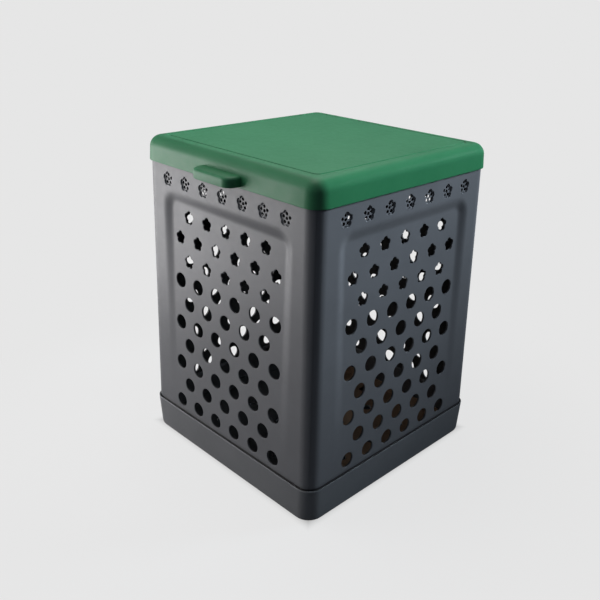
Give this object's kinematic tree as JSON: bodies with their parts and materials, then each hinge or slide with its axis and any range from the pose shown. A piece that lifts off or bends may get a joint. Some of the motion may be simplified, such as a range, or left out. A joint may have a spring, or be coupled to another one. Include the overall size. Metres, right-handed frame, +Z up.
{
  "type": "garden wormery",
  "caption": "Square upright garden wormery with pierced wall panels, a base tray and a hinged lid with a finger tab.",
  "frame": {"origin": "middle of the base tray's underside, on the ground", "axes": "+Z up; -Y is the front, the side with the lid's finger tab; +X is the right-hand side seen from the front"},
  "size_m": [0.2936, 0.3121, 0.384],
  "materials": {
    "tray": "satin moulded grey plastic",
    "wall": "satin moulded grey plastic",
    "lid": "satin moulded green plastic",
    "pin": "plain dark plastic"
  },
  "bodies": {
    "bin": {"base_tray": "tray", "wall_front": "wall", "wall_right": "wall", "wall_back": "wall", "wall_left": "wall", "hinge_pin_left": "pin", "hinge_pin_right": "pin"},
    "lid": {"lid": "lid"}
  },
  "joints": [
    {"name": "lid_hinge", "type": "hinge", "parent": "bin", "child": "lid", "pos_m": [0, 0.14756, 0.3553], "axis": [-1, 0, 0], "range_deg": [0, 110]}
  ]
}
